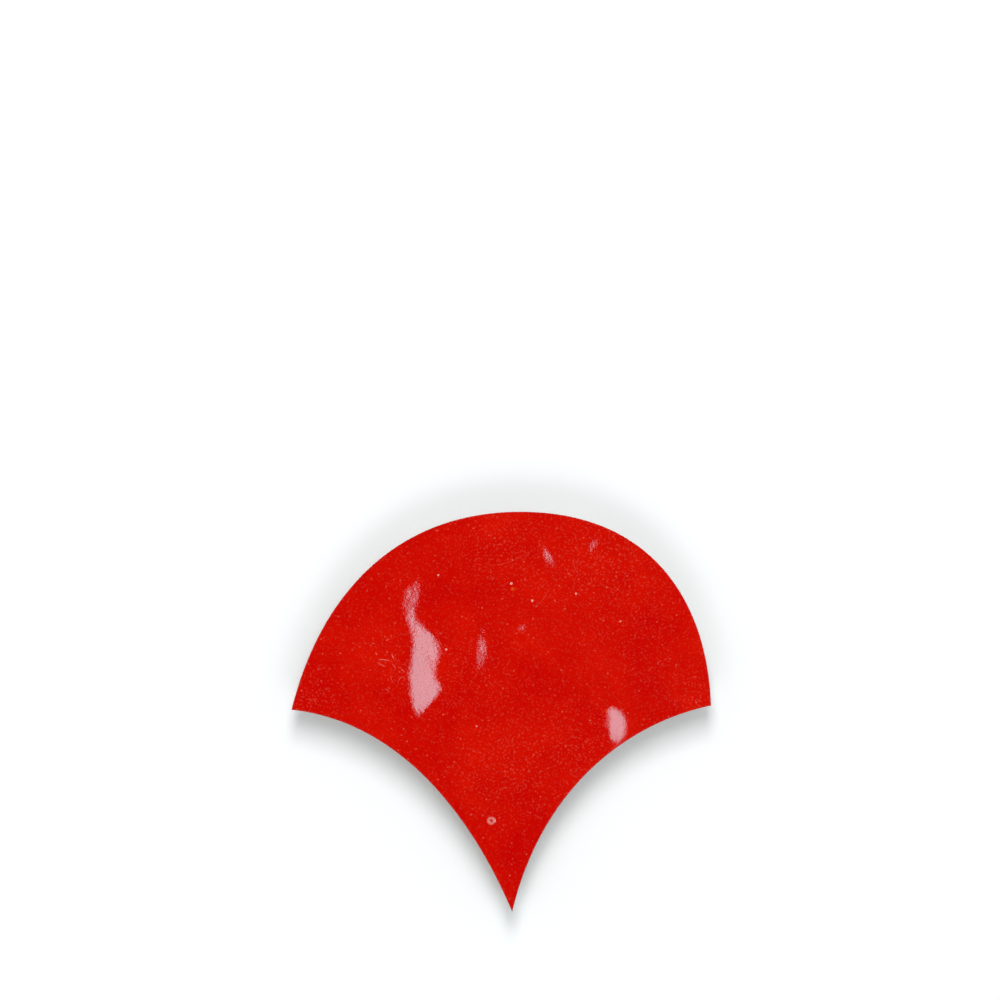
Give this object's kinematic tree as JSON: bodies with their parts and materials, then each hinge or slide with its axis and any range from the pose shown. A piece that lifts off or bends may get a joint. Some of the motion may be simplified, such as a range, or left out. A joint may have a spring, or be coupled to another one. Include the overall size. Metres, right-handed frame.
{
  "type": "fish scale tile",
  "caption": "Glazed clay wall tile in a fish scale shape: arched head, hollow flanks that meet in a tip, gently wavy gloss face, and cut edges bevelled in to a flat back.",
  "frame": {"origin": "on the back, under the middle of the tile's bounding box", "axes": "+X across the tile from its left corner to its right corner, +Y from the tip to the crown, +Z from the back out of the glazed face"},
  "size_m": [0.1, 0.0954, 0.011],
  "materials": {
    "glazed_clay": "gloss red glaze on the face, bare buff clay on the cut edges and the back"
  },
  "bodies": {
    "root": {"fish_scale_tile": "glazed_clay"}
  },
  "joints": []
}
